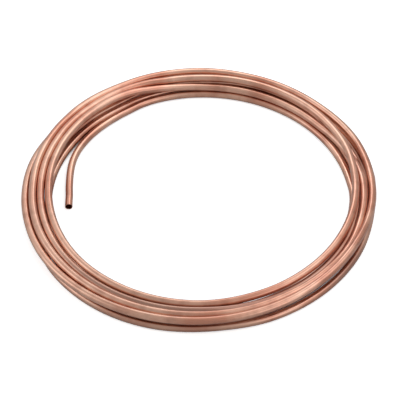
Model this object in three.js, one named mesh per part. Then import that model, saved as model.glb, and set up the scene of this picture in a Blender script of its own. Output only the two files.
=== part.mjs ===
// Coil of soft copper tube, 10 mm across with a 0.7 mm wall, in a 10 m length. Millimetres, +Z up.
// The coil lies flat on the floor and is one piece of tube. The tube's ring section is turned about
// the coil's axis a little over seven times, from its outer end on the floor at the back right to its
// inner end, which is free and bends away into the coil's bore at the left. Both ends are cut square
// and are open, and the tube's own bore runs from one to the other.
// The origin is on the floor under the middle of the coil's outline.
import * as THREE from "three";

// Driving dimensions
const TUBE_DIAMETER = 10; // across the flats of the section
const WALL_THICKNESS = 0.7;
const TURN_CLEARANCE = 0.3; // between tubes that lie side by side or on each other
const FIRST_COLUMN_RADIUS = 199.5; // from the coil's axis to the middle of the tube in column 0
const OUTER_SIDES = 12; // one flat lies level underneath, and one stands upright on each side
const BORE_SIDES = 8;
const STEP_ANGLE = 9; // degrees of turn between two sections of the tube

const PITCH = TUBE_DIAMETER + TURN_CLEARANCE;

// The course of the tube, turn by turn: [angle in degrees, column, level]. Angles run from +X towards
// +Y. Columns count outwards from FIRST_COLUMN_RADIUS and levels upwards from the floor, both in
// pitches. The tube lies smoothly between the places listed.

// Turn 0: from the outer end along the floor at the outside, then up over the outer shoulder
const TURN_0 = [
  [54, 3.88, 0], [75, 3.86, 0], [90, 3.72, 0], [120, 3.52, 0], [150, 3.3, 0.1], [165, 3.14, 0.58],
  [180, 2.95, 0.87], [195, 2.86, 1], [210, 2.86, 1.15], [225, 2.81, 1.31], [250, 2.74, 1.53],
  [270, 2.7, 1.65], [285, 2.64, 1.76], [300, 2.55, 1.88], [315, 2.42, 2], [330, 2.37, 2.01],
  [345, 2.51, 1.68],
];

// Turn 1: on top at the outside, moving in by one column at the left
const TURN_1 = [
  [0, 2.66, 1.41], [20, 2.72, 1.55], [45, 2.4, 1.72], [70, 2.43, 1.84], [90, 2.62, 1.84],
  [108, 2.58, 1.84], [120, 2.46, 1.84], [132, 2.52, 1.83], [138, 2.52, 1.78], [144, 2.51, 1.62],
  [156, 2.36, 1.58], [165, 2.2, 1.58], [180, 1.95, 1.55], [200, 1.9, 1.54], [225, 1.8, 1.5],
  [270, 1.72, 1.53], [285, 1.65, 1.49], [300, 1.6, 1.52], [315, 1.6, 1.47], [330, 1.65, 1.27],
  [345, 1.55, 1.32], [352, 1.55, 1.48],
];

// Turn 2: down and inwards under turn 3 at the right, then up beside it on its inner side
const TURN_2 = [
  [0, 1.53, 1.57], [9, 1.42, 1.33], [18, 1.07, 1.04], [30, 0.64, 1.01], [36, 0.42, 1.01],
  [45, 0.36, 1], [60, 0.33, 1.02], [75, 0.33, 1.02], [84, 0.3, 1.03], [96, 0.25, 1.22],
  [108, 0.3, 1.62], [118, 0.4, 2.08], [126, 0.48, 2.16], [138, 0.55, 1.91], [150, 0.45, 1.72],
  [165, 0.2, 1.58], [180, -0.07, 1.46], [200, -0.24, 1.44], [225, -0.18, 1.45], [250, -0.24, 1.28],
  [270, -0.27, 1.17], [285, -0.26, 1.28], [300, -0.12, 1.46], [315, 0, 1.6], [330, 0.14, 1.68],
  [345, 0.31, 1.76],
];

// Turn 3: on top of turn 2 at the right and the back, then down into the gap under the top tubes
const TURN_3 = [
  [0, 0.52, 1.8], [9, 0.63, 2], [18, 0.83, 2.05], [30, 0.97, 2], [45, 1.16, 1.96], [60, 1.2, 1.98],
  [75, 1.18, 2], [90, 1.1, 2], [102, 1.1, 2], [108, 1.25, 2.02], [114, 1.38, 2], [117, 1.42, 2.01],
  [126, 1.47, 1.95], [132, 1.54, 1.79], [144, 1.53, 1.69], [156, 1.35, 1.58], [165, 1.2, 1.53],
  [180, 0.96, 1.42], [200, 0.86, 1.26], [225, 0.78, 1.14], [250, 0.76, 1.1], [270, 0.73, 1.13],
  [285, 0.72, 0.93], [300, 0.68, 0.83], [330, 0.7, 0.79], [345, 0.72, 0.77],
];

// Turn 4: to the floor at the right, then up and outwards over turns 5 and 6 at the back
const TURN_4 = [
  [0, 0.98, 0.75], [8, 1.11, 0.35], [15, 1.13, 0.06], [22, 1.12, 0], [30, 1.14, 0.05],
  [36, 1.29, 0.43], [42, 1.42, 0.88], [48, 1.48, 0.98], [66, 1.6, 1], [75, 1.55, 1],
  [84, 1.36, 1.02], [102, 1.24, 1.02], [117, 1.4, 1], [126, 1.84, 0.98], [132, 2.03, 0.86],
  [140, 2.12, 0.6], [150, 2.2, 0.39], [165, 2.18, 0.1], [180, 2.26, 0], [204, 2.32, 0],
  [216, 2.55, 0], [240, 2.7, 0], [252, 2.66, 0], [276, 2.38, 0], [294, 2.58, 0], [330, 2.58, 0],
  [345, 2.5, 0],
];

// Turn 5: along the floor, moving in by two columns at the back
const TURN_5 = [
  [0, 2.68, 0], [8, 3.09, 0], [15, 3.14, 0], [20, 3.18, 0], [30, 3.21, 0], [36, 3.21, 0],
  [50, 2.9, 0], [60, 2.86, 0], [75, 2.72, 0], [90, 2.3, 0], [105, 1.97, 0], [114, 1.76, 0],
  [120, 1.46, 0], [126, 1.32, 0], [135, 1.27, 0], [150, 1.19, 0], [225, 1.31, 0], [330, 1.36, 0],
  [345, 1.43, 0],
];

// Turn 6: along the floor, moving in by two columns at the back
const TURN_6 = [
  [0, 1.68, 0], [8, 2.08, 0], [15, 2.13, 0], [30, 2.22, 0], [36, 2.22, 0], [50, 1.9, 0],
  [60, 1.8, 0], [75, 1.65, 0], [90, 1.3, 0], [105, 0.97, 0], [114, 0.76, 0], [120, 0.46, 0],
  [126, 0.32, 0], [135, 0.25, 0], [150, 0.15, 0], [180, 0.05, 0], [225, 0, 0], [330, 0, 0],
  [345, 0.08, 0],
];

// Turn 7: along the floor on the inside, then away into the bore and straight on to the inner end
const TURN_7 = [
  [0, 0.28, 0], [8, 0.15, 0], [20, 0.1, 0], [45, 0.08, 0], [75, 0.1, 0], [90, 0.06, 0], [100, 0, 0],
  [108, -0.09, 0], [114, -0.25, 0], [120, -0.54, 0], [126, -0.68, 0], [132, -0.78, 0],
  [142, -0.92, 0], [150, -1.12, 0], [156, -1.37, 0], [161, -1.68, 0], [166, -2.02, 0],
  [173, -2.4, 0], [180, -2.62, 0], [185.5, -2.56, 0],
];

const COURSE = [TURN_0, TURN_1, TURN_2, TURN_3, TURN_4, TURN_5, TURN_6, TURN_7].flatMap((turn, index) =>
  turn.map(([angle, column, level]) => ({
    angle: angle + 360 * index,
    radius: FIRST_COLUMN_RADIUS + column * PITCH,
    height: TUBE_DIAMETER / 2 + level * PITCH,
  })),
);

// Slope of the straight line from one listed place to the next
function spanSlope(index, key) {
  return (COURSE[index + 1][key] - COURSE[index][key]) / (COURSE[index + 1].angle - COURSE[index].angle);
}

// Slope of the course at a listed place, between those of the spans on each side of it. It is level
// where the course turns back, so that the tube never swings past the places listed.
function slopeAt(index, key) {
  const slopeBefore = spanSlope(Math.max(index - 1, 0), key);
  const slopeAfter = spanSlope(Math.min(index, COURSE.length - 2), key);
  if (slopeBefore * slopeAfter <= 0) {
    return 0;
  }
  return (2 * slopeBefore * slopeAfter) / (slopeBefore + slopeAfter);
}

// Value of one quantity of the course at an angle in degrees, on a smooth curve through the list
function courseValue(angle, key) {
  const passed = COURSE.filter((place) => place.angle <= angle).length;
  const index = Math.min(Math.max(passed, 1), COURSE.length - 1) - 1;
  const start = COURSE[index];
  const span = COURSE[index + 1].angle - start.angle;
  const rise = COURSE[index + 1][key] - start[key];
  const startRise = slopeAt(index, key) * span;
  const endRise = slopeAt(index + 1, key) * span;
  const t = (angle - start.angle) / span;
  const squared = 3 * rise - 2 * startRise - endRise;
  const cubed = startRise + endRise - 2 * rise;
  return start[key] + startRise * t + squared * t * t + cubed * t * t * t;
}

// Middle of the tube at an angle in degrees, counted on from turn to turn
function coursePoint(angle) {
  const radius = courseValue(angle, "radius");
  const radians = THREE.MathUtils.degToRad(angle);
  return new THREE.Vector3(radius * Math.cos(radians), radius * Math.sin(radians), courseValue(angle, "height"));
}

// Level and square frame of the tube's section at an angle
function sectionFrame(angle) {
  const firstAngle = COURSE[0].angle;
  const lastAngle = COURSE[COURSE.length - 1].angle;
  const behind = coursePoint(Math.max(angle - 0.5, firstAngle));
  const ahead = coursePoint(Math.min(angle + 0.5, lastAngle));
  const along = ahead.sub(behind).normalize();
  const side = new THREE.Vector3().crossVectors(along, new THREE.Vector3(0, 0, 1)).normalize();
  const up = new THREE.Vector3().crossVectors(side, along);
  return { middle: coursePoint(angle), side, up };
}

// Corners of a regular section with flats underneath and at the sides, `across` from flat to flat
function sectionRing(frame, across, sides) {
  const cornerRadius = across / 2 / Math.cos(Math.PI / sides);
  return Array.from({ length: sides }, (_, index) => {
    const turn = ((index + 0.5) / sides) * 2 * Math.PI;
    return frame.middle
      .clone()
      .addScaledVector(frame.side, cornerRadius * Math.cos(turn))
      .addScaledVector(frame.up, cornerRadius * Math.sin(turn));
  });
}

// Two triangles between four corners
function pushQuad(triangles, a, b, c, d) {
  triangles.push(a, b, c, a, c, d);
}

// Skin between the sections of one wall of the tube
function pushSkin(triangles, rings, facesOut) {
  for (let step = 0; step + 1 < rings.length; step += 1) {
    const here = rings[step];
    const next = rings[step + 1];
    here.forEach((corner, index) => {
      const other = (index + 1) % here.length;
      if (facesOut) {
        pushQuad(triangles, corner, next[index], next[other], here[other]);
      } else {
        pushQuad(triangles, corner, here[other], next[other], next[index]);
      }
    });
  }
}

// Square-cut end of the tube, the ring between its outside and its bore
function pushEnd(triangles, frame, facesAhead) {
  const outline = new THREE.Shape(sectionOutline(TUBE_DIAMETER, OUTER_SIDES));
  outline.holes.push(new THREE.Path(sectionOutline(TUBE_DIAMETER - 2 * WALL_THICKNESS, BORE_SIDES)));
  const flat = new THREE.ShapeGeometry(outline);
  const position = flat.getAttribute("position");
  const index = flat.getIndex();
  for (let i = 0; i < index.count; i += 3) {
    const corners = [0, 1, 2].map((offset) => {
      const corner = new THREE.Vector3().fromBufferAttribute(position, index.getX(i + offset));
      return frame.middle.clone().addScaledVector(frame.side, corner.x).addScaledVector(frame.up, corner.y);
    });
    triangles.push(...(facesAhead ? corners.reverse() : corners));
  }
}

// The same regular section drawn flat
function sectionOutline(across, sides) {
  const cornerRadius = across / 2 / Math.cos(Math.PI / sides);
  return Array.from({ length: sides }, (_, index) => {
    const turn = ((index + 0.5) / sides) * 2 * Math.PI;
    return new THREE.Vector2(cornerRadius * Math.cos(turn), cornerRadius * Math.sin(turn));
  });
}

// The whole tube, with its bore, as one closed solid
function tubeGeometry() {
  const firstAngle = COURSE[0].angle;
  const lastAngle = COURSE[COURSE.length - 1].angle;
  const steps = Math.ceil((lastAngle - firstAngle) / STEP_ANGLE);
  const frames = Array.from({ length: steps + 1 }, (_, step) =>
    sectionFrame(Math.min(firstAngle + STEP_ANGLE * step, lastAngle)),
  );
  const triangles = [];
  const outside = frames.map((frame) => sectionRing(frame, TUBE_DIAMETER, OUTER_SIDES));
  const bore = frames.map((frame) => sectionRing(frame, TUBE_DIAMETER - 2 * WALL_THICKNESS, BORE_SIDES));
  pushSkin(triangles, outside, true);
  pushSkin(triangles, bore, false);
  pushEnd(triangles, frames[0], false);
  pushEnd(triangles, frames[steps], true);
  return new THREE.BufferGeometry().setFromPoints(triangles);
}

// Puts the origin under the middle of the outline
function centreOutline(geometry) {
  geometry.computeBoundingBox();
  const middle = geometry.boundingBox.getCenter(new THREE.Vector3());
  geometry.translate(-middle.x, -middle.y, -geometry.boundingBox.min.z);
  geometry.computeVertexNormals();
  return geometry;
}

const copper = new THREE.MeshStandardMaterial({ name: "copper", color: 0xc98564, metalness: 1, roughness: 0.3 });

const root = new THREE.Group();
root.name = "copper_tube_coil";
const tube = new THREE.Mesh(centreOutline(tubeGeometry()), copper);
tube.name = "copper_tube";
root.add(tube);

export default root;
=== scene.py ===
"""Copper tube coil: ten metres of soft 10 mm copper tube, wound and lying flat on the floor."""
import bisect
import math

import bpy
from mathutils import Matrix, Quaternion, Vector


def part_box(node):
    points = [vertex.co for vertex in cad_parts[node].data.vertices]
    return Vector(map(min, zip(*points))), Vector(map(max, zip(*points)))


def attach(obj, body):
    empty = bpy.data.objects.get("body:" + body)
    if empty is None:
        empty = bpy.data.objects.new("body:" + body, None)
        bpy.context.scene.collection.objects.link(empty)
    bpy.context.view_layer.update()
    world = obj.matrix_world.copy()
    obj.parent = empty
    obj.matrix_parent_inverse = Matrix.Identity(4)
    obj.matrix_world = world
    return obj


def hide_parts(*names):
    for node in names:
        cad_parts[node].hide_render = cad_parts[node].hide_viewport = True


bl_info = {
    "name": "Copper Tube Coil",
    "version": (1, 0, 0),
    "blender": (4, 5, 0),
    "location": "View3D > Sidebar > Copper Coil",
    "description": "Winds a coil of soft copper tube and sets it on a studio floor",
    "category": "Add Mesh",
}

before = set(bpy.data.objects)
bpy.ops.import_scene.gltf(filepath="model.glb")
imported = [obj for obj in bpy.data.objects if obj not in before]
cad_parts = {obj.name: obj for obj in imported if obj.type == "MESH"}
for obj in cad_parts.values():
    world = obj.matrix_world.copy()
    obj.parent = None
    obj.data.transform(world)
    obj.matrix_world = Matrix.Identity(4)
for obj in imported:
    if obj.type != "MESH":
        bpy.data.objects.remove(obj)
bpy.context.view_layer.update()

# The course of the tube, turn by turn: (angle in degrees, column, level). Angles run from +X towards
# +Y. Columns count outwards from the first column and levels upwards from the floor, in pitches.
TURNS = (
    # from the outer end along the floor at the outside, then up over the outer shoulder
    ((54, 3.88, 0), (75, 3.86, 0), (90, 3.72, 0), (120, 3.52, 0), (150, 3.3, 0.1), (165, 3.14, 0.58),
     (180, 2.95, 0.87), (195, 2.86, 1), (210, 2.86, 1.15), (225, 2.81, 1.31), (250, 2.74, 1.53),
     (270, 2.7, 1.65), (285, 2.64, 1.76), (300, 2.55, 1.88), (315, 2.42, 2), (330, 2.37, 2.01),
     (345, 2.51, 1.68)),
    # on top at the outside, moving in by one column at the left
    ((0, 2.66, 1.41), (20, 2.72, 1.55), (45, 2.4, 1.72), (70, 2.43, 1.84), (90, 2.62, 1.84),
     (108, 2.58, 1.84), (120, 2.46, 1.84), (132, 2.52, 1.83), (138, 2.52, 1.78), (144, 2.51, 1.62),
     (156, 2.36, 1.58), (165, 2.2, 1.58), (180, 1.95, 1.55), (200, 1.9, 1.54), (225, 1.8, 1.5),
     (270, 1.72, 1.53), (285, 1.65, 1.49), (300, 1.6, 1.52), (315, 1.6, 1.47), (330, 1.65, 1.27),
     (345, 1.55, 1.32), (352, 1.55, 1.48)),
    # down and inwards under the next turn at the right, then up beside it on its inner side
    ((0, 1.53, 1.57), (9, 1.42, 1.33), (18, 1.07, 1.04), (30, 0.64, 1.01), (36, 0.42, 1.01),
     (45, 0.36, 1), (60, 0.33, 1.02), (75, 0.33, 1.02), (84, 0.3, 1.03), (96, 0.25, 1.22),
     (108, 0.3, 1.62), (118, 0.4, 2.08), (126, 0.48, 2.16), (138, 0.55, 1.91), (150, 0.45, 1.72),
     (165, 0.2, 1.58), (180, -0.07, 1.46), (200, -0.24, 1.44), (225, -0.18, 1.45), (250, -0.24, 1.28),
     (270, -0.27, 1.17), (285, -0.26, 1.28), (300, -0.12, 1.46), (315, 0, 1.6), (330, 0.14, 1.68),
     (345, 0.31, 1.76)),
    # on top at the right and the back, then down into the gap under the top tubes
    ((0, 0.52, 1.8), (9, 0.63, 2), (18, 0.83, 2.05), (30, 0.97, 2), (45, 1.16, 1.96), (60, 1.2, 1.98),
     (75, 1.18, 2), (90, 1.1, 2), (102, 1.1, 2), (108, 1.25, 2.02), (114, 1.38, 2), (117, 1.42, 2.01),
     (126, 1.47, 1.95), (132, 1.54, 1.79), (144, 1.53, 1.69), (156, 1.35, 1.58), (165, 1.2, 1.53),
     (180, 0.96, 1.42), (200, 0.86, 1.26), (225, 0.78, 1.14), (250, 0.76, 1.1), (270, 0.73, 1.13),
     (285, 0.72, 0.93), (300, 0.68, 0.83), (330, 0.7, 0.79), (345, 0.72, 0.77)),
    # to the floor at the right, then up and outwards over the next two turns at the back
    ((0, 0.98, 0.75), (8, 1.11, 0.35), (15, 1.13, 0.06), (22, 1.12, 0), (30, 1.14, 0.05),
     (36, 1.29, 0.43), (42, 1.42, 0.88), (48, 1.48, 0.98), (66, 1.6, 1), (75, 1.55, 1), (84, 1.36, 1.02),
     (102, 1.24, 1.02), (117, 1.4, 1), (126, 1.84, 0.98), (132, 2.03, 0.86), (140, 2.12, 0.6),
     (150, 2.2, 0.39), (165, 2.18, 0.1), (180, 2.26, 0), (204, 2.32, 0), (216, 2.55, 0), (240, 2.7, 0),
     (252, 2.66, 0), (276, 2.38, 0), (294, 2.58, 0), (330, 2.58, 0), (345, 2.5, 0)),
    # along the floor, moving in by two columns at the back
    ((0, 2.68, 0), (8, 3.09, 0), (15, 3.14, 0), (20, 3.18, 0), (30, 3.21, 0), (36, 3.21, 0),
     (50, 2.9, 0), (60, 2.86, 0), (75, 2.72, 0), (90, 2.3, 0), (105, 1.97, 0), (114, 1.76, 0),
     (120, 1.46, 0), (126, 1.32, 0), (135, 1.27, 0), (150, 1.19, 0), (225, 1.31, 0), (330, 1.36, 0),
     (345, 1.43, 0)),
    # along the floor, moving in by two columns at the back
    ((0, 1.68, 0), (8, 2.08, 0), (15, 2.13, 0), (30, 2.22, 0), (36, 2.22, 0), (50, 1.9, 0), (60, 1.8, 0),
     (75, 1.65, 0), (90, 1.3, 0), (105, 0.97, 0), (114, 0.76, 0), (120, 0.46, 0), (126, 0.32, 0),
     (135, 0.25, 0), (150, 0.15, 0), (180, 0.05, 0), (225, 0, 0), (330, 0, 0), (345, 0.08, 0)),
    # along the floor on the inside, then away into the bore and straight on to the inner end
    ((0, 0.28, 0), (8, 0.15, 0), (20, 0.1, 0), (45, 0.08, 0), (75, 0.1, 0), (90, 0.06, 0), (100, 0, 0),
     (108, -0.09, 0), (114, -0.25, 0), (120, -0.54, 0), (126, -0.68, 0), (132, -0.78, 0),
     (142, -0.92, 0), (150, -1.12, 0), (156, -1.37, 0), (161, -1.68, 0), (166, -2.02, 0),
     (173, -2.4, 0), (180, -2.62, 0), (185.5, -2.56, 0)),
)
FINE_STEP = 0.5  # degrees of turn between the points that lengths are measured on
SOLID_STEP = 9  # degrees of turn between two sections of the solid tube
LIP_SECTIONS = (0.3, 0.6, 1.0)  # shares of a lip's length at which it has a section

# Stretches of the tube painted darker. This is painted shade where the tube lies deep between or under
# other turns, not tarnish: (from, to, share of the tarnish colour), in metres along it.
PAINTED_SHADE_STRETCHES = (
    (4.62, 5.16, 0.7),
    (6.02, 6.36, 0.3),
    (6.36, 6.56, 0.7),
)
PAINTED_SHADE_FADE = 0.12  # metres over which a stretch of painted shade comes and goes

# Noise patterns of the copper. Scales are in repeats a metre, and across the die lines in repeats a
# radius. The ranges are the noise values between which each pattern goes from none to full.
DIE_LINE_SCALE = 9.0
DIE_LINE_RANGE = (0.3, 0.7)
DIE_LINE_ROUGHENING = 0.14  # roughness that the deepest lines add
DIE_LINE_DEPTH = 0.0003
DIE_LINE_RELIEF = 0.08  # share of that depth that shows
REDDER_SCALE = 14.0
REDDER_RANGE = (0.44, 0.64)
TARNISH_SCALE = 55.0
TARNISH_RANGE = (0.5, 0.8)
TARNISH_FILM = 0.45  # most that the thin film covers

# Shade beside the coil: how far over the floor it reaches, and between which shares of open sky the
# floor's glow goes from none to full.
SHADE_REACH = 0.015
SHADE_RANGE = (0.1, 0.3)
SHADE_SAMPLES = 8

# Soft lights around the room: compass angle from +X and height in degrees, tightness, brightness.
SOFT_LIGHTS = (
    (0, 60, 30, 1.5),  # key, high on the right
    (45, 60, 30, 1.0),  # high behind the right shoulder
    (-45, 30, 30, 1.5),  # low at the front right
    (180, 30, 20, 1.25),  # fill from the left
    (110, 40, 30, 0.75),  # rim from behind
)


class CoilSettings(bpy.types.PropertyGroup):
    """Sizes of the tube and of the way it is wound"""

    tube_diameter: bpy.props.FloatProperty(
        name="Tube Diameter", description="Outside diameter of the tube", default=0.010, unit="LENGTH")
    wall_thickness: bpy.props.FloatProperty(
        name="Wall Thickness", description="Thickness of the tube's wall", default=0.0007, unit="LENGTH")
    turn_clearance: bpy.props.FloatProperty(
        name="Turn Clearance", description="Room between neighbouring turns", default=0.0003,
        unit="LENGTH")
    first_column: bpy.props.FloatProperty(
        name="First Column", description="Radius of the innermost column of tubes", default=0.1995,
        unit="LENGTH")
    section_sides: bpy.props.IntProperty(
        name="Section Sides", description="Sides of the tube's round section", default=24, min=8)
    section_spacing: bpy.props.FloatProperty(
        name="Section Spacing", description="Distance along the tube between two sections",
        default=0.0053, unit="LENGTH")
    lip_length: bpy.props.FloatProperty(
        name="Lip Length", description="Length of each end that the cutter's wheel rolled inwards",
        default=0.0009, unit="LENGTH")
    lip_turn_in: bpy.props.FloatProperty(
        name="Lip Turn In", description="Share by which the cutter's wheel narrowed each end",
        default=0.07, subtype="FACTOR", min=0, max=0.5)


class CopperSettings(bpy.types.PropertyGroup):
    """Colours and gloss of the drawn copper"""

    clean_colour: bpy.props.FloatVectorProperty(
        name="Clean Copper", description="Colour of the clean drawn copper", subtype="COLOR", size=3,
        default=(0.84, 0.45, 0.30), min=0, max=1)
    deep_colour: bpy.props.FloatVectorProperty(
        name="Deep Copper", description="Colour of the redder patches left by annealing",
        subtype="COLOR", size=3, default=(0.64, 0.23, 0.12), min=0, max=1)
    # also the colour of the painted shade on the darker stretches of the tube
    tarnish_and_shade_colour: bpy.props.FloatVectorProperty(
        name="Tarnish", description="Colour of the thin brown tarnish", subtype="COLOR", size=3,
        default=(0.29, 0.11, 0.06), min=0, max=1)
    roughness: bpy.props.FloatProperty(
        name="Roughness", description="Roughness of the clean copper", default=0.26, subtype="FACTOR",
        min=0, max=1)
    coat_index: bpy.props.FloatProperty(
        name="Coat Index", description="Index of refraction of the clear coat", default=2.0, min=1)
    coat_roughness: bpy.props.FloatProperty(
        name="Coat Roughness", description="Roughness of the clear coat", default=0.16,
        subtype="FACTOR", min=0, max=1)


class StudioSettings(bpy.types.PropertyGroup):
    """Floor, lights and camera"""

    floor_colour: bpy.props.FloatVectorProperty(
        name="Floor", description="Colour of the floor", subtype="COLOR", size=3,
        default=(0.86, 0.86, 0.86), min=0, max=1)
    floor_reflected: bpy.props.FloatVectorProperty(
        name="Floor Reflected", description="Colour that the floor has for the copper's reflections",
        subtype="COLOR", size=3, default=(0.6, 0.6, 0.6), min=0, max=1)
    floor_reach: bpy.props.FloatProperty(
        name="Floor Reach", description="Distance from the middle of the floor to its edges",
        default=6.0, unit="LENGTH")
    floor_glow: bpy.props.FloatProperty(
        name="Floor Glow", description="Light that the floor gives off", default=0.65, min=0)
    room_brightness: bpy.props.FloatProperty(
        name="Room", description="Brightness of the room all around", default=0.45, min=0)
    soft_lights: bpy.props.FloatProperty(
        name="Soft Lights", description="Brightness of the broad lights around the room", default=1.0,
        min=0)
    softbox_power: bpy.props.FloatProperty(
        name="Softbox Power", description="Power of the softbox behind the coil", default=0.4, min=0,
        unit="POWER")
    softbox_size: bpy.props.FloatProperty(
        name="Softbox Size", description="Side of the square softbox", default=0.3, unit="LENGTH")
    softbox_place: bpy.props.FloatVectorProperty(
        name="Softbox Place", description="Where the softbox stands", default=(0.04, 0.5, 0.47),
        subtype="TRANSLATION", unit="LENGTH")
    camera_target: bpy.props.FloatVectorProperty(
        name="Camera Target", description="Point that the camera is aimed at, from the coil's axis",
        default=(0.0002, 0, 0.01325), subtype="TRANSLATION", unit="LENGTH")
    camera_height_angle: bpy.props.FloatProperty(
        name="Camera Elevation", description="Angle of the camera above the floor",
        default=math.radians(45.78), subtype="ANGLE")
    camera_distance: bpy.props.FloatProperty(
        name="Camera Distance", description="Distance from the camera to the middle of the coil",
        default=2.0458, unit="LENGTH")
    camera_lens: bpy.props.FloatProperty(
        name="Camera Lens", description="Focal length in millimetres on a 36 mm sensor", default=139.75)
    camera_dip: bpy.props.FloatProperty(
        name="Camera Dip", description="Angle by which the camera looks below the coil's middle",
        default=math.radians(0.316), subtype="ANGLE")
    camera_roll: bpy.props.FloatProperty(
        name="Camera Roll", description="Turn of the camera about its own line of sight",
        default=math.radians(-0.80), subtype="ANGLE")


# ---------------------------------------------------------------- the course of the tube


def course_places(coil):
    """Places that the tube passes: angle counted on from turn to turn, radius and height"""
    pitch = coil.tube_diameter + coil.turn_clearance
    return [
        (angle + 360 * index, coil.first_column + column * pitch, coil.tube_diameter / 2 + level * pitch)
        for index, turn in enumerate(TURNS)
        for angle, column, level in turn
    ]


def place_slopes(places, key):
    """Slope of one quantity at each place, level where it turns back so that it never overshoots"""
    spans = [(b[key] - a[key]) / (b[0] - a[0]) for a, b in zip(places, places[1:])]
    slopes = []
    for before, after in zip([spans[0]] + spans, spans + [spans[-1]]):
        slopes.append(0.0 if before * after <= 0 else 2 * before * after / (before + after))
    return slopes


def course_point(places, slopes, angle):
    """Point on the middle of the tube at an angle, counted on from turn to turn"""
    index = min(max(bisect.bisect_right(places, (angle, math.inf, math.inf)) - 1, 0), len(places) - 2)
    start, end = places[index], places[index + 1]
    span = end[0] - start[0]
    share = (angle - start[0]) / span
    values = []
    for key in (1, 2):
        rise = end[key] - start[key]
        rise_in, rise_out = slopes[key][index] * span, slopes[key][index + 1] * span
        squared = 3 * rise - 2 * rise_in - rise_out
        cubed = rise_in + rise_out - 2 * rise
        values.append(start[key] + rise_in * share + squared * share**2 + cubed * share**3)
    radius, height = values
    around = math.radians(angle)
    return Vector((radius * math.cos(around), radius * math.sin(around), height))


def stepped_course(coil, step):
    """Points along the middle of the tube, a step of angle apart and with its two ends"""
    places = course_places(coil)
    slopes = {key: place_slopes(places, key) for key in (1, 2)}
    first, last = places[0][0], places[-1][0]
    angles = [first + step * index for index in range(math.ceil((last - first) / step))]
    return [course_point(places, slopes, angle) for angle in (*angles, last)]


def section_places(length, coil):
    """Distances along the tube at which it gets a section: evenly, and closer in its two lips"""
    count = round(length / coil.section_spacing)
    places = [length * index / count for index in range(count + 1)]
    for share in LIP_SECTIONS:
        places += [coil.lip_length * share, length - coil.lip_length * share]
    return sorted(places)


def course_points(coil):
    """The middle of the tube at each of its sections"""
    fine = stepped_course(coil, FINE_STEP)
    run = [0.0]
    for before, after in zip(fine, fine[1:]):
        run.append(run[-1] + (after - before).length)
    points = []
    index = 0
    for place in section_places(run[-1], coil):
        while index < len(fine) - 2 and run[index + 1] < place:
            index += 1
        share = (place - run[index]) / (run[index + 1] - run[index])
        points.append(fine[index].lerp(fine[index + 1], min(share, 1.0)))
    return points


def axis_in_frame(coil):
    """Where the coil's axis stands, for the solid tube's outline has its middle over the origin"""
    corners = stepped_course(coil, SOLID_STEP)
    low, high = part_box("copper_tube")
    shift = Vector((0, 0, 0))
    for axis in (0, 1):
        across = [corner[axis] for corner in corners]
        shift[axis] = (low[axis] + high[axis]) / 2 - (min(across) + max(across)) / 2
    return shift


# ---------------------------------------------------------------- node helpers


def add_node(tree, kind, **inputs):
    """Adds a node and sets its named inputs, each to a value or from another node's socket"""
    node = tree.nodes.new(kind)
    for name, value in inputs.items():
        socket = node.inputs[name.replace("_", " ")]
        if isinstance(value, bpy.types.NodeSocket):
            tree.links.new(value, socket)
        else:
            socket.default_value = value
    return node


def joined(tree, operation, *values):
    """Result of a math node on one or two values or sockets"""
    node = tree.nodes.new("ShaderNodeMath")
    node.operation = operation
    for socket, value in zip(node.inputs, values):
        if isinstance(value, bpy.types.NodeSocket):
            tree.links.new(value, socket)
        else:
            socket.default_value = value
    return node.outputs[0]


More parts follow.
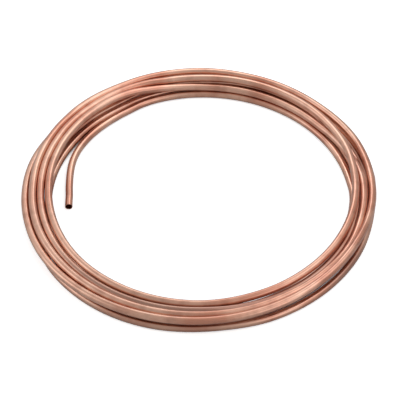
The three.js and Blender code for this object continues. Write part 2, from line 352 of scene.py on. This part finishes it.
def sweep_tree():
    """Geometry nodes that sweep the tube's section along its course"""
    tree = bpy.data.node_groups.new("tube_sweep", "GeometryNodeTree")
    sockets = (
        ("Course", "INPUT", "NodeSocketGeometry"),
        ("Tube Diameter", "INPUT", "NodeSocketFloat"),
        ("Section Sides", "INPUT", "NodeSocketInt"),
        ("Lip Length", "INPUT", "NodeSocketFloat"),
        ("Lip Turn In", "INPUT", "NodeSocketFloat"),
        ("Copper", "INPUT", "NodeSocketMaterial"),
        ("Tube", "OUTPUT", "NodeSocketGeometry"),
    )
    for name, in_out, kind in sockets:
        tree.interface.new_socket(name=name, in_out=in_out, socket_type=kind)
    given = tree.nodes.new("NodeGroupInput").outputs
    out = tree.nodes.new("NodeGroupOutput")

    to_curve = add_node(tree, "GeometryNodeMeshToCurve", Mesh=given["Course"])
    upright = tree.nodes.new("GeometryNodeSetCurveNormal")
    upright.mode = "Z_UP"
    tree.links.new(to_curve.outputs["Curve"], upright.inputs["Curve"])

    length_along = tree.nodes.new("GeometryNodeSplineParameter").outputs["Length"]
    along = tree.nodes.new("GeometryNodeStoreNamedAttribute")
    along.data_type, along.domain = "FLOAT", "POINT"
    along.inputs["Name"].default_value = "along"
    tree.links.new(upright.outputs["Curve"], along.inputs["Geometry"])
    tree.links.new(length_along, along.inputs["Value"])

    # the cutter's wheel rolled a short lip inwards at each end
    whole = tree.nodes.new("GeometryNodeSplineLength").outputs["Length"]
    from_far_end = joined(tree, "SUBTRACT", whole, length_along)
    from_end = joined(tree, "MINIMUM", length_along, from_far_end)
    past_lip = add_node(
        tree, "ShaderNodeMapRange", Value=from_end, From_Max=given["Lip Length"],
        To_Min=joined(tree, "SUBTRACT", 1.0, given["Lip Turn In"]))
    past_lip.interpolation_type = "SMOOTHSTEP"
    narrowed = add_node(
        tree, "GeometryNodeSetCurveRadius", Curve=along.outputs["Geometry"],
        Radius=past_lip.outputs["Result"])

    section = add_node(
        tree, "GeometryNodeCurvePrimitiveCircle", Resolution=given["Section Sides"],
        Radius=joined(tree, "MULTIPLY", given["Tube Diameter"], 0.5))

    place = tree.nodes.new("GeometryNodeInputPosition").outputs["Position"]
    unit = tree.nodes.new("ShaderNodeVectorMath")
    unit.operation = "NORMALIZE"
    tree.links.new(place, unit.inputs[0])
    around = tree.nodes.new("GeometryNodeStoreNamedAttribute")
    around.data_type, around.domain = "FLOAT_VECTOR", "POINT"
    around.inputs["Name"].default_value = "around"
    tree.links.new(section.outputs["Curve"], around.inputs["Geometry"])
    tree.links.new(unit.outputs[0], around.inputs["Value"])

    sweep = add_node(
        tree, "GeometryNodeCurveToMesh", Curve=narrowed.outputs["Curve"],
        Profile_Curve=around.outputs["Geometry"])
    smooth = add_node(tree, "GeometryNodeSetShadeSmooth", Geometry=sweep.outputs["Mesh"])
    real = add_node(tree, "GeometryNodeRealizeInstances", Geometry=smooth.outputs["Geometry"])
    finish = add_node(
        tree, "GeometryNodeSetMaterial", Geometry=real.outputs["Geometry"], Material=given["Copper"])
    tree.links.new(finish.outputs["Geometry"], out.inputs["Tube"])
    return tree


def set_tree_inputs(modifier, values):
    """Sets a node modifier's inputs, which are named by their sockets' identifiers"""
    for item in modifier.node_group.interface.items_tree:
        if item.item_type == "SOCKET" and item.in_out == "INPUT" and item.name in values:
            modifier[item.identifier] = values[item.name]


def baked_mesh(source, name):
    """Plain mesh of an object's evaluated result"""
    graph = bpy.context.evaluated_depsgraph_get()
    mesh = bpy.data.meshes.new_from_object(source.evaluated_get(graph), depsgraph=graph)
    mesh.name = name
    return mesh


# ---------------------------------------------------------------- copper


def copper_material(copper):
    """Drawn and annealed copper: rosy metal with redder and browner patches along the tube, and
    stretches darkened as painted shade
    """
    material = bpy.data.materials.new("drawn_copper")
    material.use_nodes = True
    tree = material.node_tree
    shader = tree.nodes["Principled BSDF"]
    shader.inputs["Metallic"].default_value = 1.0
    shader.inputs["Coat Weight"].default_value = 1.0
    shader.inputs["Coat IOR"].default_value = copper.coat_index
    shader.inputs["Coat Roughness"].default_value = copper.coat_roughness

    place = tree.nodes.new("ShaderNodeTexCoord").outputs["Object"]
    along = tree.nodes.new("ShaderNodeAttribute")
    along.attribute_name = "along"
    around = tree.nodes.new("ShaderNodeAttribute")
    around.attribute_name = "around"

    # lines that the drawing die left, which run along the tube
    side = tree.nodes.new("ShaderNodeSeparateXYZ")
    tree.links.new(around.outputs["Vector"], side.inputs[0])
    lines_place = tree.nodes.new("ShaderNodeCombineXYZ")
    tree.links.new(side.outputs["X"], lines_place.inputs["X"])
    tree.links.new(side.outputs["Y"], lines_place.inputs["Y"])
    tree.links.new(along.outputs["Fac"], lines_place.inputs["Z"])
    lines = add_node(
        tree, "ShaderNodeTexNoise", Vector=lines_place.outputs[0], Scale=DIE_LINE_SCALE, Detail=3.0)

    # broad patches of redder metal and of thin tarnish
    patches = add_node(
        tree, "ShaderNodeTexNoise", Vector=place, Scale=REDDER_SCALE, Detail=4.0, Roughness=0.55)
    clouds = add_node(
        tree, "ShaderNodeTexNoise", Vector=place, Scale=TARNISH_SCALE, Detail=6.0, Roughness=0.6)

    deepness = add_node(
        tree, "ShaderNodeMapRange", Value=patches.outputs["Fac"],
        From_Min=REDDER_RANGE[0], From_Max=REDDER_RANGE[1])
    redder = tree.nodes.new("ShaderNodeMix")
    redder.data_type = "RGBA"
    redder.inputs["A"].default_value = (*copper.clean_colour, 1)
    redder.inputs["B"].default_value = (*copper.deep_colour, 1)
    tree.links.new(deepness.outputs[0], redder.inputs["Factor"])

    film = add_node(
        tree, "ShaderNodeMapRange", Value=clouds.outputs["Fac"],
        From_Min=TARNISH_RANGE[0], From_Max=TARNISH_RANGE[1], To_Max=TARNISH_FILM)
    tarnish_and_shade_share = film.outputs[0]
    # painted shade: stretches of the tube darkened towards the tarnish colour where it lies deep between
    # or under other turns
    for start, end, share in PAINTED_SHADE_STRETCHES:
        past_middle = joined(tree, "SUBTRACT", along.outputs["Fac"], (start + end) / 2)
        half_length = (end - start) / 2
        shade_stretch = add_node(
            tree, "ShaderNodeMapRange", Value=joined(tree, "ABSOLUTE", past_middle),
            From_Min=half_length, From_Max=half_length - PAINTED_SHADE_FADE, To_Max=share)
        shade_stretch.interpolation_type = "SMOOTHSTEP"
        tarnish_and_shade_share = joined(tree, "MAXIMUM", tarnish_and_shade_share, shade_stretch.outputs[0])
    # the random tarnish film and the painted shade both mix the copper towards the tarnish colour
    tarnish_and_shade_mix = tree.nodes.new("ShaderNodeMix")
    tarnish_and_shade_mix.data_type = "RGBA"
    tarnish_and_shade_mix.inputs["B"].default_value = (*copper.tarnish_and_shade_colour, 1)
    tree.links.new(tarnish_and_shade_share, tarnish_and_shade_mix.inputs["Factor"])
    tree.links.new(redder.outputs["Result"], tarnish_and_shade_mix.inputs["A"])
    tree.links.new(tarnish_and_shade_mix.outputs["Result"], shader.inputs["Base Color"])

    gloss = add_node(
        tree, "ShaderNodeMapRange", Value=lines.outputs["Fac"],
        From_Min=DIE_LINE_RANGE[0], From_Max=DIE_LINE_RANGE[1],
        To_Min=copper.roughness, To_Max=copper.roughness + DIE_LINE_ROUGHENING)
    tree.links.new(gloss.outputs[0], shader.inputs["Roughness"])

    relief = add_node(
        tree, "ShaderNodeBump", Height=lines.outputs["Fac"],
        Strength=DIE_LINE_RELIEF, Distance=DIE_LINE_DEPTH)
    tree.links.new(relief.outputs["Normal"], shader.inputs["Normal"])
    return material


# ---------------------------------------------------------------- studio


def floor_paint(studio):
    """Pale matt floor that glows where it is looked at, and less so close beside the coil"""
    paint = bpy.data.materials.new("floor_paint")
    paint.use_nodes = True
    tree = paint.node_tree
    tree.nodes.clear()
    pale = add_node(tree, "ShaderNodeBsdfDiffuse", Color=(*studio.floor_colour, 1))
    # the glow fades where the coil stands close over the floor
    openness = add_node(tree, "ShaderNodeAmbientOcclusion", Distance=SHADE_REACH)
    openness.samples = SHADE_SAMPLES
    lit = add_node(
        tree, "ShaderNodeMapRange", Value=openness.outputs["AO"],
        From_Min=SHADE_RANGE[0], From_Max=SHADE_RANGE[1], To_Max=studio.floor_glow)
    glow = add_node(tree, "ShaderNodeEmission", Strength=lit.outputs[0])
    seen = tree.nodes.new("ShaderNodeAddShader")
    tree.links.new(pale.outputs[0], seen.inputs[0])
    tree.links.new(glow.outputs[0], seen.inputs[1])
    reflected = add_node(tree, "ShaderNodeBsdfDiffuse", Color=(*studio.floor_reflected, 1))
    choice = tree.nodes.new("ShaderNodeMixShader")
    tree.links.new(tree.nodes.new("ShaderNodeLightPath").outputs["Is Camera Ray"], choice.inputs["Fac"])
    tree.links.new(reflected.outputs[0], choice.inputs[1])
    tree.links.new(seen.outputs[0], choice.inputs[2])
    out = tree.nodes.new("ShaderNodeOutputMaterial")
    tree.links.new(choice.outputs[0], out.inputs["Surface"])
    return paint


def studio_room(studio):
    """Evenly lit pale room with a few broad, soft lights around it"""
    world = bpy.data.worlds.new("studio_room")
    world.use_nodes = True
    tree = world.node_tree
    way = tree.nodes.new("ShaderNodeTexCoord").outputs["Generated"]
    total = studio.room_brightness
    for compass, height, tightness, brightness in SOFT_LIGHTS:
        around, up = math.radians(compass), math.radians(height)
        towards = tree.nodes.new("ShaderNodeVectorMath")
        towards.operation = "DOT_PRODUCT"
        towards.inputs[1].default_value = (
            math.cos(up) * math.cos(around), math.cos(up) * math.sin(around), math.sin(up))
        tree.links.new(way, towards.inputs[0])
        off_axis = joined(tree, "SUBTRACT", towards.outputs["Value"], 1.0)
        glow = joined(tree, "EXPONENT", joined(tree, "MULTIPLY", off_axis, tightness))
        glow = joined(tree, "MULTIPLY", glow, brightness * studio.soft_lights)
        total = joined(tree, "ADD", glow, total)
    background = tree.nodes["Background"]
    background.inputs["Color"].default_value = (1, 1, 1, 1)
    tree.links.new(total, background.inputs["Strength"])
    return world


# ---------------------------------------------------------------- operators


class WindTubeCoil(bpy.types.Operator):
    """Winds the copper tube into its coil, with both ends cut and open"""

    bl_idname = "copper_coil.wind_tube"
    bl_label = "Wind Tube Coil"

    def execute(self, context):
        coil = context.scene.coil_settings
        axis = axis_in_frame(coil)
        points = [point + axis for point in course_points(coil)]
        line = bpy.data.meshes.new("tube_course")
        line.from_pydata(points, [(index, index + 1) for index in range(len(points) - 1)], [])
        source = bpy.data.objects.new("tube_course", line)
        context.scene.collection.objects.link(source)

        copper = copper_material(context.scene.copper_settings)
        sweep = source.modifiers.new("sweep", "NODES")
        sweep.node_group = sweep_tree()
        set_tree_inputs(sweep, {
            "Tube Diameter": coil.tube_diameter,
            "Section Sides": coil.section_sides,
            "Lip Length": coil.lip_length,
            "Lip Turn In": coil.lip_turn_in,
            "Copper": copper,
        })
        wall = source.modifiers.new("wall", "SOLIDIFY")
        wall.thickness = coil.wall_thickness
        wall.offset = -1
        mesh = baked_mesh(source, "tube_coil")
        if len(mesh.polygons) < (len(points) - 1) * coil.section_sides:
            raise RuntimeError("the tube was not swept")
        bpy.data.objects.remove(source)
        tube = bpy.data.objects.new("tube_coil", mesh)
        context.scene.collection.objects.link(tube)
        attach(tube, "root")
        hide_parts("copper_tube")
        return {"FINISHED"}


class SetUpStudio(bpy.types.Operator):
    """Lays the pale floor and sets up the soft light and the camera"""

    bl_idname = "copper_coil.set_up_studio"
    bl_label = "Set Up Studio"

    def execute(self, context):
        studio = context.scene.studio_settings
        floor_mesh = bpy.data.meshes.new("studio_floor")
        reach = studio.floor_reach
        floor_mesh.from_pydata(
            [(-reach, -reach, 0), (reach, -reach, 0), (reach, reach, 0), (-reach, reach, 0)], [],
            [(0, 1, 2, 3)])
        floor = bpy.data.objects.new("studio_floor", floor_mesh)
        context.scene.collection.objects.link(floor)
        floor_mesh.materials.append(floor_paint(studio))
        context.scene.world = studio_room(studio)

        lamp = bpy.data.lights.new("softbox", "AREA")
        lamp.shape = "RECTANGLE"
        lamp.size = lamp.size_y = studio.softbox_size
        lamp.energy = studio.softbox_power
        softbox = bpy.data.objects.new("softbox", lamp)
        softbox.location = studio.softbox_place
        softbox.rotation_euler = (-softbox.location).to_track_quat("-Z", "Y").to_euler()
        context.scene.collection.objects.link(softbox)

        target = axis_in_frame(context.scene.coil_settings) + Vector(studio.camera_target)
        angle = studio.camera_height_angle
        line = Vector((0, -math.cos(angle), math.sin(angle)))
        view = bpy.data.cameras.new("studio_camera")
        view.lens = studio.camera_lens
        view.sensor_width = 36
        view.clip_start = 0.01
        camera = bpy.data.objects.new("studio_camera", view)
        camera.location = target + line * studio.camera_distance
        aim = (-line).to_track_quat("-Z", "Y")
        dip = Quaternion((1, 0, 0), -studio.camera_dip)
        roll = Quaternion((0, 0, 1), studio.camera_roll)
        camera.rotation_euler = (aim @ dip @ roll).to_euler()
        context.scene.collection.objects.link(camera)
        context.scene.camera = camera
        context.scene.view_settings.view_transform = "Standard"
        return {"FINISHED"}


class CopperCoilPanel(bpy.types.Panel):
    """Shows the coil's settings and the buttons of its operators"""

    bl_label = "Copper Coil"
    bl_idname = "VIEW3D_PT_copper_coil"
    bl_space_type = "VIEW_3D"
    bl_region_type = "UI"
    bl_category = "Copper Coil"

    def draw(self, context):
        for settings in ("coil_settings", "copper_settings", "studio_settings"):
            group = getattr(context.scene, settings)
            box = self.layout.box()
            for name in group.__annotations__:
                box.prop(group, name)
        for operator in OPERATORS:
            self.layout.operator(operator.bl_idname)


OPERATORS = (WindTubeCoil, SetUpStudio)
CLASSES = (CoilSettings, CopperSettings, StudioSettings, *OPERATORS, CopperCoilPanel)


def register():
    for cls in CLASSES:
        bpy.utils.register_class(cls)
    bpy.types.Scene.coil_settings = bpy.props.PointerProperty(type=CoilSettings)
    bpy.types.Scene.copper_settings = bpy.props.PointerProperty(type=CopperSettings)
    bpy.types.Scene.studio_settings = bpy.props.PointerProperty(type=StudioSettings)


def unregister():
    del bpy.types.Scene.studio_settings
    del bpy.types.Scene.copper_settings
    del bpy.types.Scene.coil_settings
    for cls in reversed(CLASSES):
        bpy.utils.unregister_class(cls)


def main():
    """Makes the coil and its studio"""
    register()
    bpy.ops.copper_coil.wind_tube()
    bpy.ops.copper_coil.set_up_studio()


if __name__ == "__main__":
    main()
